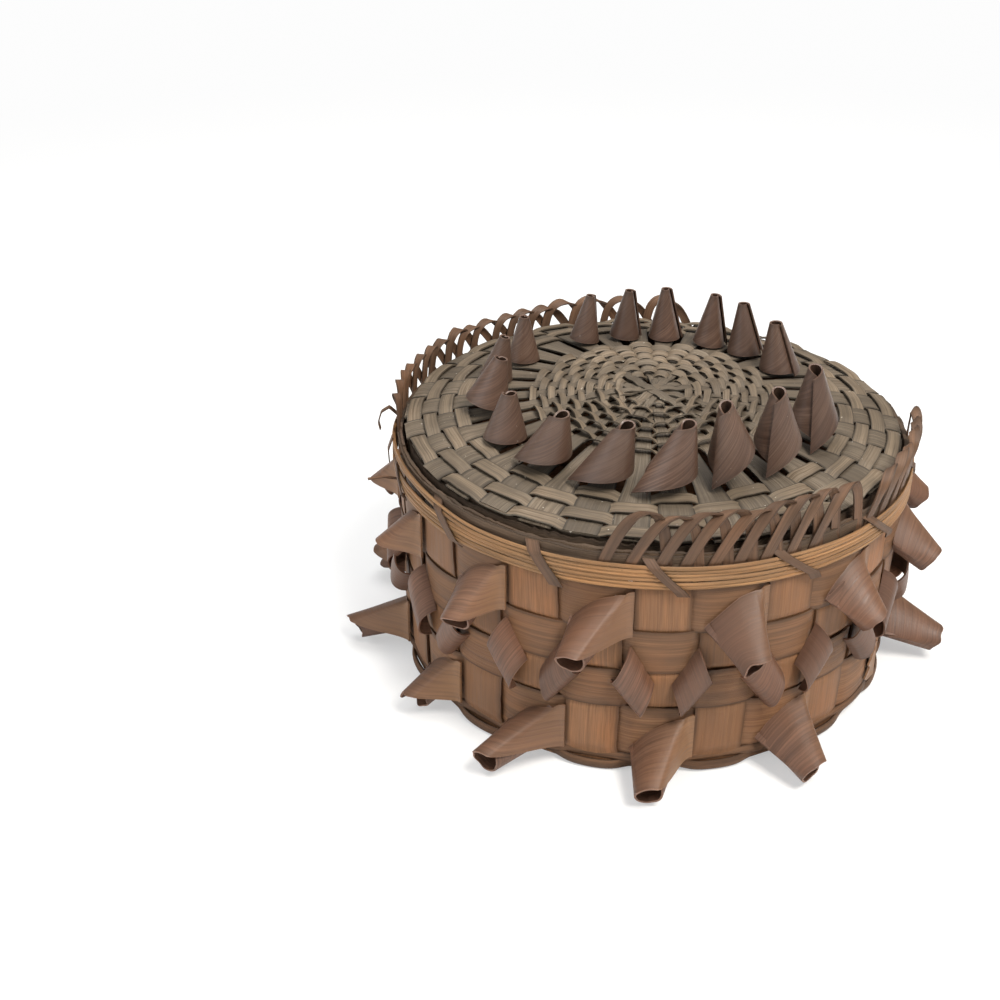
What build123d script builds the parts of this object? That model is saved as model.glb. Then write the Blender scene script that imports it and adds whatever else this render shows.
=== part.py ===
from build123d import *
import os
from math import atan2, cos, degrees, hypot, pi, radians, sin, tan

# Driving dimensions, in millimetres and degrees. The origin is the middle of the foot, +Z up, -Y the front.

# Splint stock and weaving clearances
splint = 0.7                # thickness of the wall and base splints
weave_gap = 0.15            # clearance where two splints cross
lap_gap = 0.4               # slit between the two ends of a woven round
seat_gap = 0.2              # clearance where one piece rests on another

# Base stakes, which turn up as the wall's uprights
base_splint_count = 13      # splints that cross under the base: each one is two uprights
first_stake_azimuth = -91.3
wall_radius = 67.8          # distance from the axis to the middle of an upright's thickness
stake_gap = 3.0             # gap between neighbouring uprights
corner_radius = 2.0         # bend from base to wall
corner_steps = 3            # straight facets in that bend
stake_top_reach = 2.0       # how far the uprights pass the outer hoop
foot_ring_width = 8.0       # flat ring under the base that the basket stands on
base_rise = 4.0             # how far the base is pushed up inside that ring
base_gap = 2.2              # gap between neighbouring stakes under the base
base_centre_breadth = 2.2   # breadth of a stake where they all cross
base_centre_splint = 0.3    # thickness of a stake where they all cross

# Base rounds, as shares of the pushed-up base's radius
base_round_count = 5
base_round_start_share = 0.346   # inner radius of the first round
base_round_pitch_share = 0.095
base_round_gap = 0.5        # gap between one base round and the next

# Foot strands
foot_strand_count = 2
foot_strand_height = 1.6
foot_strand_thickness = 1.0

# Wall rounds, from the foot up
wall_round_heights = (14.0, 10.6, 11.2, 13.4)
round_gap = 0.6             # gap between one round and the next

# Rim
hoop_strand_count = 3
hoop_strand_height = 2.1
hoop_strand_gap = 0.1
hoop_strand_rounding = 0.6
hoop_thickness = 2.0
inner_hoop_thickness = 1.2
inner_hoop_reach = 1.8      # how far the inner hoop passes the uprights
lash_count = 14
first_lash_azimuth = -90.4
lash_breadth = 3.6
lash_thickness = 0.35
lash_slant = 3.0            # sideways run of a lashing over the hoop's height
lash_tail = 0.7             # how far a lashing hangs below the hoop

# Loop border: runs of loops along the rim, each with its first azimuth and its number of loops
loop_runs = {"loops_front": (-104.0, 9), "loops_right": (-42.0, 6), "loops_left": (100.0, 14)}
loop_pitch = 5.42           # azimuth step from loop to loop
loop_height = 13.0          # rise above the hoop
loop_breadth = 4.2          # measured level, along the rim
loop_thickness = 0.45
loop_slant = 9.4            # sideways run of a loop's front leg
loop_back_slant = 1.3       # sideways run of its back leg
loop_steps = 4              # straight facets over the top of a loop

# Rolled strips
roll_spiral = 0.95          # step outwards of one turn over the next
roll_steps = 16             # straight facets round the cone

# Large wall curls: horns that point outwards and down, whose strips run off to a slot beside the upright
curl_thickness = 0.6
curl_breadth = 13.8
curl_wrap = 350.0           # how far a strip goes round its cone
curl_near = 18.5            # distance from the cone's point to the strip's near edge
curl_half_angle = 11.5
curl_skew = 0.15            # slant of the strip for each degree round the cone
curl_square = 120.0         # how far round the strip lies square to the cone
curl_side_turn = 37.0       # side of the cone where the strip runs off, from its top
curl_lead = 18.0            # slant of the strip where it runs off
curl_leg_steps = 5          # straight facets from the cone to the slot
curl_leg_run = 9.2          # distance of the slot from the middle of the upright
curl_leg_pull = 9.0         # how gently the strip bends to the slot
curl_slot_share = 0.94      # length of the slot, as a share of the strip's breadth
curl_slot_drop = 0.6        # how far a slot's middle lies below the middle of its round
curl_root_run = 1.0         # how far a cone's axis starts beside the upright's middle
curl_fall = 0.3             # fall of a strip's upper edge, leftwards from the slot
top_curl_reach = 12.7       # distance of a mouth from the wall's face
bottom_curl_reach = 14.2
least_run_on = 0.6          # a strip's far edge runs on to the wall within these shares of its breadth
most_run_on = 1.5
# Mouth of each curl, on every second upright: run along the wall, drop below its slot, share of the reach.
# A row of noughts is a curl that has been torn off.
top_mouths = (
    (3.0, 8.9, 1), (2.4, 9.0, 0.75), (0.5, 8.5, 0.72), (-1.5, 9.0, 0.65), (1.0, 8.5, 1),
    (-2.5, 9.0, 1), (0.0, 8.0, 1), (1.5, 9.0, 1), (-2.0, 8.5, 1), (0.5, 8.5, 0.5),
    (-1.0, 8.5, 0.5), (2.0, 9.6, 0.8), (-3.2, 8.7, 1),
)
bottom_mouths = (
    (-2.0, 7.6, 1), (1.5, 7.0, 1), (0, 0, 0), (-2.0, 6.5, 1), (1.0, 7.0, 1),
    (-1.5, 6.5, 1), (2.0, 7.0, 1), (0.0, 6.5, 1), (-2.0, 7.0, 1), (1.5, 6.5, 1),
    (-1.0, 7.6, 0.95), (1.0, 7.6, 0.6), (-5.5, 7.0, 1),
)

# Small wall curls: bent leaves between the uprights, leaning to either side in turn
leaf_rise = 4.2             # how far a leaf bulges from the wall
leaf_steps = 10
leaf_drop = 2.05            # how far a leaf's middle lies below the third round
leaf_shoulder = 2.6         # how late, and how steeply, a leaf bends to its ends
leaf_steepness = 0.6
leaf_top = (-1.1, 9.9)      # corners of a leaf, along the wall and up from its middle
leaf_left = (-5.0, 0.2)
leaf_bottom = (2.3, -9.3)
leaf_right = (4.9, -0.6)

# Lid
lid_splint_count = 17       # splints that cross at the lid's centre: each one is two spokes
first_spoke_azimuth = -88.3
lid_splint = 0.5
lid_inset = 0.9             # how far the lid's edge lies inside the middle of the uprights
lid_rise = 8.0              # dome of the lid, from its edge to its centre
spoke_gap = 1.4             # gap between neighbouring spokes
spoke_breadth_limit = 8.8
lid_centre_breadth = 1.8
lid_centre_splint = 0.22
inner_round_count = 5
inner_round_start_share = 0.278  # inner radius of the first fine round, as a share of the lid's radius
inner_round_pitch_share = 0.045
inner_round_gap = 0.4       # gap between one fine round and the next
outer_round_count = 4
outer_round_pitch_share = 0.061
outer_round_gap = 0.3       # gap between one broad round and the next
outer_round_margin = 0.4    # distance from the last round to the spokes' cut ends
flange_height = 9.0
flange_thickness = 0.8
flange_gap = 0.7            # running clearance inside the inner hoop

# Lid quills: strips rolled on standing cones in a ring
quill_thickness = 0.5
quill_wrap = 385.0          # how far a strip goes round its cone, a little over itself
quill_near_share = 0.0658   # distance from the cone's point to the strip's near edge, of the lid's radius
quill_square = 200.0        # how far round from its outer end the strip lies square to the cone
quill_side_turn = 71.0      # side of the cone where the strip ends, from the outer side
# Each quill: azimuth, distance from the axis as a share of the lid's radius, lean along the ring,
# lean outwards, breadth as the same share, slant of its strip, half angle of its cone
quills = (
    (-88.3, 0.715, 0.24, 0.03, 0.194, 0.24, 19),
    (-107.0, 0.70, 0.32, 0.03, 0.188, 0.24, 19),
    (-127.5, 0.70, 0.30, 0.00, 0.176, 0.24, 19),
    (-150.5, 0.68, 0.05, -0.05, 0.188, 0.14, 18),
    (-174.5, 0.67, 0.05, -0.28, 0.203, 0.12, 18),
    (163.0, 0.66, 0.00, -0.20, 0.187, 0.10, 15),
    (142.5, 0.65, 0.00, 0.00, 0.194, 0.08, 15),
    (113.0, 0.64, -0.12, 0.00, 0.203, 0.07, 14),
    (96.5, 0.64, -0.06, 0.00, 0.212, 0.07, 14),
    (81.0, 0.64, 0.02, 0.00, 0.224, 0.07, 14),
    (63.0, 0.635, -0.06, 0.00, 0.224, 0.08, 14),
    (47.5, 0.635, 0.12, 0.00, 0.218, 0.10, 15),
    (28.0, 0.62, 0.10, -0.10, 0.203, 0.12, 17),
    (-28.0, 0.67, -0.05, -0.05, 0.200, 0.23, 18),
    (-52.0, 0.68, -0.10, 0.02, 0.200, 0.23, 18),
    (-70.5, 0.695, -0.20, 0.02, 0.197, 0.23, 18),
)

# Worked-out sizes

stake_count = 2 * base_splint_count
stake_pitch = 360 / stake_count
half_pitch = radians(stake_pitch / 2)
stake_breadth = 2 * wall_radius * tan(half_pitch) - stake_gap
weave_offset = splint + weave_gap
foot_offset = (splint + foot_strand_thickness) / 2 + weave_gap
foot_bottom = splint / 2 + corner_radius
foot_top = foot_bottom + foot_strand_count * (foot_strand_height + weave_gap)

wall_round_bottoms = []
next_bottom = foot_top
for height in wall_round_heights:
    wall_round_bottoms.append(next_bottom)
    next_bottom += height + round_gap
hoop_bottom = next_bottom - round_gap + seat_gap
hoop_step = hoop_strand_height + hoop_strand_gap
hoop_top = hoop_bottom + hoop_strand_count * hoop_step - hoop_strand_gap
stake_top = hoop_top + stake_top_reach
inner_hoop_top = stake_top + inner_hoop_reach
hoop_inner_radius = hypot(wall_radius + splint / 2, stake_breadth / 2) + seat_gap
hoop_outer_radius = hoop_inner_radius + hoop_thickness
inner_hoop_outer_radius = wall_radius - splint / 2 - seat_gap
inner_hoop_inner_radius = inner_hoop_outer_radius - inner_hoop_thickness

flat_inner_radius = wall_radius - corner_radius - foot_ring_width
base_round_start = base_round_start_share * flat_inner_radius
base_round_pitch = base_round_pitch_share * flat_inner_radius
base_round_breadth = base_round_pitch - base_round_gap
base_round_radii = [base_round_start + i * base_round_pitch for i in range(base_round_count + 1)]

spoke_count = 2 * lid_splint_count
spoke_pitch = 360 / spoke_count
half_spoke_pitch = radians(spoke_pitch / 2)
lid_offset = lid_splint + weave_gap
lid_radius = wall_radius - lid_inset
lid_edge_slope = 2 * lid_rise / lid_radius
lid_edge_z = inner_hoop_top + seat_gap + (lid_offset + lid_splint / 2) * hypot(1, lid_edge_slope)
inner_round_start = inner_round_start_share * lid_radius
inner_round_pitch = inner_round_pitch_share * lid_radius
inner_round_breadth = inner_round_pitch - inner_round_gap
inner_round_radii = [inner_round_start + i * inner_round_pitch for i in range(inner_round_count + 1)]
outer_round_pitch = outer_round_pitch_share * lid_radius
outer_round_breadth = outer_round_pitch - outer_round_gap
outer_round_start = (
    lid_radius - outer_round_margin - outer_round_breadth - (outer_round_count - 1) * outer_round_pitch
)
outer_round_radii = [outer_round_start + i * outer_round_pitch for i in range(outer_round_count)]
up = Vector(0, 0, 1)


def level(azimuth):
    """Unit vector that points level outwards at this azimuth."""
    return Vector(cos(radians(azimuth)), sin(radians(azimuth)), 0)


def sideways(azimuth):
    """Unit vector along the wall at this azimuth, counter-clockwise seen from above."""
    return level(azimuth + 90)


def base_height(radius):
    """Middle of a stake's thickness under the pushed-up base."""
    return splint / 2 + base_rise * (1 - (radius / flat_inner_radius) ** 2)


def lid_height(radius):
    """Middle of a spoke's thickness on the domed lid."""
    return lid_edge_z + lid_rise * (1 - (radius / lid_radius) ** 2)


def bow_tie(radius, half_step, gap, centre, limit):
    """Breadth of a splint that tapers to the crossing at the centre."""
    return min(limit, max(centre, 2 * radius * tan(half_step) - gap))


def stake_breadth_at(radius):
    """Breadth of a base stake at this distance from the axis."""
    return bow_tie(radius, half_pitch, base_gap, base_centre_breadth, stake_breadth)


def spoke_breadth_at(radius):
    """Breadth of a lid splint at this distance from the axis."""
    return bow_tie(radius, half_spoke_pitch, spoke_gap, lid_centre_breadth, spoke_breadth_limit)


def crossing_radius(breadth, half_step):
    """Radius outside which neighbouring splints of this breadth no longer cross."""
    return (breadth / 2 + weave_gap) / sin(half_step)


def lofted(sections):
    """One strip of splint: straight facets through its flat cross-sections (plane, breadth, thickness)."""
    with BuildPart() as strip:
        for plane, breadth, thickness in sections:
            with BuildSketch(plane):
                Rectangle(breadth, thickness)
        loft(ruled=True, clean=False)
    return strip.part


def crossing_strip(half, azimuth):
    """Cross-sections of a splint that runs through the axis at this azimuth.

    half: (distance from the axis, height, breadth, thickness) from the crossing outwards.
    Both halves are alike.
    """
    points = [(-s, *rest) for s, *rest in reversed(half)] + half
    headings = [atan2(b[1] - a[1], b[0] - a[0]) for a, b in zip(points, points[1:])]
    sections = []
    befores, afters = headings[:1] + headings, headings + headings[-1:]
    for (s, z, breadth, thickness), before, after in zip(points, befores, afters):
        mean = (before + after) / 2
        along = level(azimuth) * cos(mean) + up * sin(mean)
        plane = Plane(origin=level(azimuth) * s + up * z, x_dir=sideways(azimuth), z_dir=along)
        sections.append((plane, breadth, thickness / cos((after - before) / 2)))
    return sections


def woven_stations(count, first_azimuth, over_even, offset, radius, half_breadth):
    """Bends of a round that passes over and under the stakes in turn.

    Each is its azimuth, its offset from the stakes' middle, and how much further out than a stake's middle
    it lies, because the stakes are flat. The two ends of the round meet under a stake.
    """
    half_angle = degrees(atan2(half_breadth + weave_gap, radius))
    half_slit = degrees(lap_gap / 2 / radius)
    first = 1 if over_even else 0
    stations = []
    for k in range(first, first + count + 1):
        side = 1 if (k % 2 == 0) == over_even else -1
        near = half_slit if k == first else -half_angle
        far = -half_slit if k == first + count else half_angle
        for turn in (near, far):
            stations.append((first_azimuth + k * 360 / count + turn, side * offset, 1 / cos(radians(turn))))
    return stations


def dished_round(
    count, first_azimuth, over_even, offset, inner, outer, height_at, half_breadth, breadth, thickness
):
    """Cross-sections of a round woven over the dished base or the domed lid, between two radii."""
    slope = atan2(height_at(outer) - height_at(inner), outer - inner)
    middle = (inner + outer) / 2
    middle_z = (height_at(inner) + height_at(outer)) / 2
    sections = []
    stations = woven_stations(count, first_azimuth, over_even, offset, middle, half_breadth)
    for azimuth, lift, stretch in stations:
        radius = (middle - lift * sin(slope)) * stretch
        centre = level(azimuth) * radius + up * (middle_z + lift * cos(slope))
        across = level(azimuth) * cos(slope) + up * sin(slope)
        sections.append((Plane(origin=centre, x_dir=across, z_dir=sideways(azimuth)), breadth, thickness))
    return sections


def wall_round(over_even, bottom, height, offset, thickness):
    """A round woven outside and inside the uprights, of one height all along."""
    outer_face, inner_face = [], []
    for azimuth, shift, stretch in woven_stations(
        stake_count, first_stake_azimuth, over_even, offset, wall_radius, stake_breadth / 2
    ):
        outer_face.append(level(azimuth) * (wall_radius + shift + thickness / 2) * stretch)
        inner_face.append(level(azimuth) * (wall_radius + shift - thickness / 2) * stretch)
    with BuildPart() as woven:
        with BuildSketch(Plane.XY.offset(bottom)):
            with BuildLine():
                Polyline(*outer_face, *reversed(inner_face), close=True)
            make_face()
        extrude(amount=height)
    return woven.part


def hoop(bottom, height, inner_radius, outer_radius, rounding):
    """A plain hoop, with its outer edges rounded."""
    with BuildPart() as ring:
        with BuildSketch(Plane.XY.offset(bottom)):
            Circle(outer_radius)
            Circle(inner_radius, mode=Mode.SUBTRACT)
        extrude(amount=height)
        fillet(ring.edges().filter_by(GeomType.CIRCLE).group_by(SortBy.RADIUS)[-1], rounding)
    return ring.part


def ruled_strip(edges, thickness):
    """One strip through straight lines between its near and far edges."""
    middles = [(near + far) / 2 for near, far in edges]
    sections = []
    for i, (near, far) in enumerate(edges):
        across = (far - near).normalized()
        ahead = middles[min(i + 1, len(edges) - 1)] - middles[max(i - 1, 0)]
        ahead = (ahead - across * ahead.dot(across)).normalized()
        plane = Plane(origin=middles[i], x_dir=across, z_dir=ahead)
        sections.append((plane, (far - near).length, thickness))
    return lofted(sections)


def rolled_edges(mouth, tip, side, heading, near, breadth, half_angle, skew, square, wrap):
    """Near and far edge of a strip rolled on a cone, from its inner to its outer end.

    mouth: centre of the small end; tip: unit vector out of it. The outer end lies on this side of the cone
    and heads this way.
    """
    alpha = radians(half_angle)
    point = mouth + tip * (near * cos(alpha))
    edges = []
    for i in range(roll_steps + 1):
        back = wrap * (1 - i / roll_steps)
        outward = side * cos(radians(back)) - heading * sin(radians(back))
        step_out = roll_spiral * (0.5 - back / 360)
        stretch = 1 / cos(radians(skew * (square - back)))
        line = []
        for reach in (near * stretch, (near + breadth) * stretch):
            line.append(point - tip * (reach * cos(alpha)) + outward * (reach * sin(alpha) + step_out))
        edges.append(line)
    return edges


def turned(first, second, angle):
    """Two square unit vectors, turned in their plane."""
    turn = radians(angle)
    return first * cos(turn) + second * sin(turn), second * cos(turn) - first * sin(turn)


def run_off(start, heading, end, along, t):
    """Point of a smooth run from a start and its heading to an end and its heading."""
    left = 2 * t**3 - 3 * t**2 + 1
    pull = heading * (t**3 - 2 * t**2 + t) + along * (t**3 - t**2)
    return start * left + end * (1 - left) + pull * curl_leg_pull


def wall_curl(azimuth, seat, reach, run, drop):
    """A horn that stands on the wall, with its strip running off to a slot at its right."""
    out, along = level(azimuth), sideways(azimuth)
    root = out * curl_face + along * curl_root_run + up * seat
    mouth = out * (curl_face + reach) + along * run + up * (seat - drop)
    tip = (mouth - root).normalized()
    top = (up - tip * tip.dot(up)).normalized()
    right = top.cross(tip)
    if right.dot(along) < 0:
        right = -right
    side, heading = turned(top, right, curl_side_turn)
    slot = out * curl_face + along * curl_leg_run + up * seat
    half_slot = up * (curl_breadth * curl_slot_share / 2)
    slot_top = slot.Z + half_slot.Z
    edges = []
    cone = (mouth, tip, side, heading, curl_near, curl_breadth, curl_half_angle)
    for near, far in rolled_edges(*cone, curl_skew, curl_square, curl_wrap):
        share = (near.dot(out) - curl_face) / (near - far).dot(out)
        far = near + (far - near) * min(most_run_on, max(least_run_on, share))
        highest = slot_top - curl_fall * (curl_leg_run - far.dot(along))
        far = far + out * max(0, curl_face - far.dot(out)) - up * max(0, far.Z - highest)
        edges.append((near, far))
    lead = heading * cos(radians(curl_lead)) - tip * sin(radians(curl_lead))
    near, far = edges[-1]
    for i in range(curl_leg_steps):
        t = (i + 1) / curl_leg_steps
        lower = run_off(near, lead, slot - half_slot, along, t)
        upper = run_off(far, along, slot + half_slot, along, t)
        edges.append((lower, upper))
    return ruled_strip(edges, curl_thickness)


def leaf(azimuth, lean):
    """A small strip bent over the wall, with its two ends against the weavers."""
    edges = []
    for i in range(leaf_steps + 1):
        share = i / leaf_steps
        bulge = (1 - abs(2 * share - 1) ** leaf_shoulder) ** leaf_steepness
        radius = leaf_seat + leaf_rise * bulge
        line = []
        for start, end in ((leaf_right, leaf_bottom), (leaf_top, leaf_left)):
            run = start[0] + (end[0] - start[0]) * share
            height = start[1] + (end[1] - start[1]) * share
            line.append(level(azimuth + degrees(lean * run / radius)) * radius + up * (leaf_middle + height))
        edges.append(line)
    return ruled_strip(edges, curl_thickness)


def save(piece, name):
    """Name a finished piece and write its file."""
    piece.label = name
    export_step(piece, f"parts/{name}.step")


def save_group(pieces, name):
    """Write like pieces as one node of separate solids."""
    save(Compound([piece.solid() for piece in pieces]), name)


os.makedirs("parts", exist_ok=True)

# Base stakes: each crosses the others at its own level in the middle, and turns up twice as the wall
for i in range(base_splint_count):
    lift = (i - (base_splint_count - 1) / 2) * (base_centre_splint + weave_gap / 2)
    crossing = crossing_radius(base_centre_breadth, half_pitch)
    half = [(crossing, base_height(base_round_start) + lift, base_centre_breadth, base_centre_splint)]
    for radius in base_round_radii:
        half.append((radius, base_height(radius), stake_breadth_at(radius), splint))
    half.append((flat_inner_radius, base_height(flat_inner_radius), stake_breadth, splint))
    for step in range(corner_steps + 1):
        bend = radians(90 * step / corner_steps)
        s = wall_radius - corner_radius + corner_radius * sin(bend)
        half.append((s, foot_bottom - corner_radius * cos(bend), stake_breadth, splint))
    half.append((wall_radius, stake_top, stake_breadth, splint))
    base_stake = lofted(crossing_strip(half, first_stake_azimuth + i * stake_pitch))
    save(base_stake, f"base_stake_{i + 1:02d}")

# Base rounds, woven through the stakes under the pushed-up base
base_weavers = []
for i, (inner, outer) in enumerate(zip(base_round_radii, base_round_radii[1:])):
    half_breadth = stake_breadth_at((inner + outer) / 2) / 2
    base_weavers.append(
        lofted(
            dished_round(
                stake_count,
                first_stake_azimuth,
                i % 2 == 0,
                weave_offset,
                inner,
                outer,
                base_height,
                half_breadth,
                base_round_breadth,
                splint,
            )
        )
    )
save_group(base_weavers, "base_weavers")

# Foot strands, twined round the bottom of the wall in opposite phase
for i in range(foot_strand_count):
    strand_bottom = foot_bottom + i * (foot_strand_height + weave_gap)
    over_even = i % 2 == 1
    foot_strand = wall_round(
        over_even, strand_bottom, foot_strand_height, foot_offset, foot_strand_thickness
    )
    save(foot_strand, f"foot_strand_{i + 1}")

# Wall rounds in plain weave
for i, (bottom, height) in enumerate(zip(wall_round_bottoms, wall_round_heights)):
    wall_weaver = wall_round(i % 2 == 0, bottom, height, weave_offset, splint)
    save(wall_weaver, f"wall_weaver_{i + 1}")

# Rim hoops: pale strands outside the uprights, one dark hoop inside them
for i in range(hoop_strand_count):
    strand_bottom = hoop_bottom + i * hoop_step
    rim_strand = hoop(
        strand_bottom, hoop_strand_height, hoop_inner_radius, hoop_outer_radius, hoop_strand_rounding
    )
    save(rim_strand, f"rim_strand_{i + 1}")
inner_hoop = hoop(
    hoop_bottom, inner_hoop_top - hoop_bottom, inner_hoop_inner_radius, inner_hoop_outer_radius, seat_gap
)
save(inner_hoop, "inner_hoop")

# Lashings: slanting strips that go over the top of the outer hoop and down its face
lash_face_radius = hoop_outer_radius + weave_gap + lash_thickness / 2
lash_top_z = hoop_top + weave_gap + lash_thickness / 2
lash_foot_z = hoop_bottom - lash_tail
lashings = []
for i in range(lash_count):
    middle = first_lash_azimuth + i * 360 / lash_count
    out, along = level(middle), sideways(middle)
    start = out * (hoop_inner_radius + hoop_thickness / 4) + up * lash_top_z
    corner = out * lash_face_radius + up * lash_top_z
    foot = out * lash_face_radius + up * lash_foot_z + along * lash_slant
    sections = []
    for centre, direction in ((start, out), (corner, (out - up).normalized()), (foot, -up)):
        plane = Plane(origin=centre, x_dir=along, z_dir=direction)
        sections.append((plane, lash_breadth, lash_thickness))
    lashings.append(lofted(sections))
save_group(lashings, "lashings")

# Loop border: each loop rises slanting in front of the rim, turns over and comes down behind it
loop_front_radius = (hoop_inner_radius + hoop_outer_radius) / 2
loop_bend = (loop_front_radius - wall_radius) / 2
loop_foot_z = lash_top_z + lash_thickness / 2 + weave_gap
loop_back_z = stake_top + seat_gap
loop_shoulder_z = hoop_top + loop_height - loop_bend


def border_loop(azimuth):
    """One loop whose front leg starts at this azimuth, with both feet cut level."""
    out, along = level(azimuth), sideways(azimuth)
    top = out * (wall_radius + loop_bend) + along * loop_slant + up * loop_shoulder_z
    front_foot = out * loop_front_radius + up * loop_foot_z
    back_foot = out * wall_radius + along * (loop_slant + loop_back_slant) + up * loop_back_z
    stations = [(front_foot, up)]
    for step in range(loop_steps + 1):
        turn = pi * step / loop_steps
        over = out * cos(turn) + up * sin(turn)
        stations.append((top + over * loop_bend, up * cos(turn) - out * sin(turn)))
    stations.append((back_foot, -up))
    return lofted(
        [
            (Plane(origin=centre, x_dir=along, z_dir=direction), loop_breadth, loop_thickness)
            for centre, direction in stations
        ]
    )


for name, (start, count) in loop_runs.items():
    save_group([border_loop(start + i * loop_pitch) for i in range(count)], name)

# Curls in three tiers: large ones over every second upright at the foot and under the rim, leaves between
weaver_face = wall_radius + weave_offset + splint / 2
curl_face = weaver_face + seat_gap + curl_thickness
leaf_middle = wall_round_bottoms[2] - leaf_drop
leaf_seat = hypot(weaver_face, stake_breadth / 2) + seat_gap + curl_thickness / 2
for name, row, first, reach, mouths in (
    ("curls_bottom", 0, 0, bottom_curl_reach, bottom_mouths),
    ("curls_top", -1, 1, top_curl_reach, top_mouths),
):
    seat = wall_round_bottoms[row] + wall_round_heights[row] / 2 - curl_slot_drop
    curls = []
    for i, (run, drop, share) in enumerate(mouths):
        azimuth = first_stake_azimuth + (first + 2 * i) * stake_pitch
        if share:
            curls.append(wall_curl(azimuth, seat, reach * share, run, drop))
    save_group(curls, name)
leaves = []
for i in range(stake_count):
    leaves.append(leaf(first_stake_azimuth + (i + 0.5) * stake_pitch, -1 if i % 2 == 0 else 1))
save_group(leaves, "curls_middle")

# Lid splints: each crosses the others at its own level in the middle of the dome
for i in range(lid_splint_count):
    lift = (i - (lid_splint_count - 1) / 2) * (lid_centre_splint + weave_gap / 3)
    crossing = crossing_radius(lid_centre_breadth, half_spoke_pitch)
    half = [(crossing, lid_height(inner_round_start) + lift, lid_centre_breadth, lid_centre_splint)]
    for radius in inner_round_radii + outer_round_radii + [lid_radius]:
        half.append((radius, lid_height(radius), spoke_breadth_at(radius), lid_splint))
    lid_stake = lofted(crossing_strip(half, first_spoke_azimuth + i * spoke_pitch))
    save(lid_stake, f"lid_splint_{i + 1:02d}")


def lid_round(index, inner, outer, breadth):
    """A round woven over and under the spokes between these radii."""
    half_breadth = spoke_breadth_at((inner + outer) / 2) / 2
    return lofted(
        dished_round(
            spoke_count,
            first_spoke_azimuth,
            index % 2 == 0,
            lid_offset,
            inner,
            outer,
            lid_height,
            half_breadth,
            breadth,
            lid_splint,
        )
    )


# Lid rounds: fine ones near the centre, broad ones at the edge
inner_rounds = []
for i, (inner, outer) in enumerate(zip(inner_round_radii, inner_round_radii[1:])):
    inner_rounds.append(lid_round(i, inner, outer, inner_round_breadth))
save_group(inner_rounds, "lid_inner_weavers")
for i, (inner, outer) in enumerate(zip(outer_round_radii, outer_round_radii[1:] + [lid_radius])):
    save(lid_round(i, inner, outer, outer_round_breadth), f"lid_weaver_{i + 1}")

# Lid flange: the band under the lid that drops inside the rim
flange_outer_radius = inner_hoop_inner_radius - flange_gap
flange_bottom = inner_hoop_top - flange_height
lid_flange = hoop(
    flange_bottom, flange_height, flange_outer_radius - flange_thickness, flange_outer_radius, seat_gap
)
save(lid_flange, "lid_flange")

def lid_top(radius):
    """Top face of the lid at this distance from the axis: the spokes, or the rounds woven over them."""
    bare = inner_round_radii[-1] + quill_thickness < radius < outer_round_start - quill_thickness
    return lid_height(radius) + lid_splint / 2 + (0 if bare else lid_offset)


# Lid quills: standing cones whose lowest edges rest on the lid
lid_quills = []
quill_near = quill_near_share * lid_radius
for azimuth, ring_share, lean, outward, breadth_share, skew, half_angle in quills:
    ring_radius, breadth = ring_share * lid_radius, breadth_share * lid_radius
    out, along = level(azimuth), sideways(azimuth)
    tip = (up + along * lean + out * outward).normalized()
    front = (out - tip * tip.dot(out)).normalized()
    right = front.cross(tip)
    if right.dot(along) < 0:
        right = -right
    side, heading = turned(front, -right, quill_side_turn)
    mouth = out * ring_radius + up * lid_height(ring_radius) + tip * breadth
    edges = rolled_edges(
        mouth, tip, side, heading, quill_near, breadth, half_angle, skew, quill_square, quill_wrap
    )
    drop = min(far.Z - lid_top(hypot(far.X, far.Y)) for near, far in edges) - seat_gap - quill_thickness / 2
    edges = [(near - up * drop, far - up * drop) for near, far in edges]
    lid_quills.append(ruled_strip(edges, quill_thickness))
save_group(lid_quills, "lid_quills")
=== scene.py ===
"""Looks of the quill basket: a round lidded basket of thin splint with rolled curls."""

import random
from math import cos, hypot, pi, radians, sin, sqrt

import bmesh
import bpy
from bpy.props import FloatProperty, FloatVectorProperty, IntProperty, PointerProperty
from mathutils import Euler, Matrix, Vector, noise


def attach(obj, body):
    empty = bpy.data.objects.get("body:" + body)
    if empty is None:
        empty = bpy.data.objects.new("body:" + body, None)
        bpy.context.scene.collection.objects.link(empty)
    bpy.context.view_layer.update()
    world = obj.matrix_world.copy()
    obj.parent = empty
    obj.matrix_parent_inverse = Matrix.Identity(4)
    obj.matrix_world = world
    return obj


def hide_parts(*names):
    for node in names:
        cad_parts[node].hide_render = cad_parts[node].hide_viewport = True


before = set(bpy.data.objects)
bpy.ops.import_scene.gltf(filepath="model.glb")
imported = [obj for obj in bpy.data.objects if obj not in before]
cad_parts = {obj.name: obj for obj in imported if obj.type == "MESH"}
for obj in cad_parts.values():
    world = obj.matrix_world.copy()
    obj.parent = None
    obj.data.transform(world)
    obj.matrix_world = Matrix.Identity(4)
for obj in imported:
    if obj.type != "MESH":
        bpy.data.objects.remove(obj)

bl_info = {
    "name": "Quill Basket",
    "version": (1, 0, 0),
    "blender": (4, 5, 0),
    "location": "View3D > Sidebar > Basket",
    "description": "Builds the pieces of a lidded splint basket with rolled curls",
    "category": "Object",
}

MM = 0.001
UP = Vector((0, 0, 1))
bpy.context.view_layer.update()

# Lengths of strips are in millimetres and azimuths in degrees. Properties, looks and stage are in metres.
SEED_STEP = 7.31
SEED_START = 0.17
CREASE = radians(42)

# Wall
FIRST_STAKE = -91.3
ROUND_BOTTOMS = (5.2, 20.4, 31.6, 43.4)
ROUND_HEIGHTS = (15.5, 11.5, 12.2, 13.9)
TAPER_HEIGHT = 66

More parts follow.
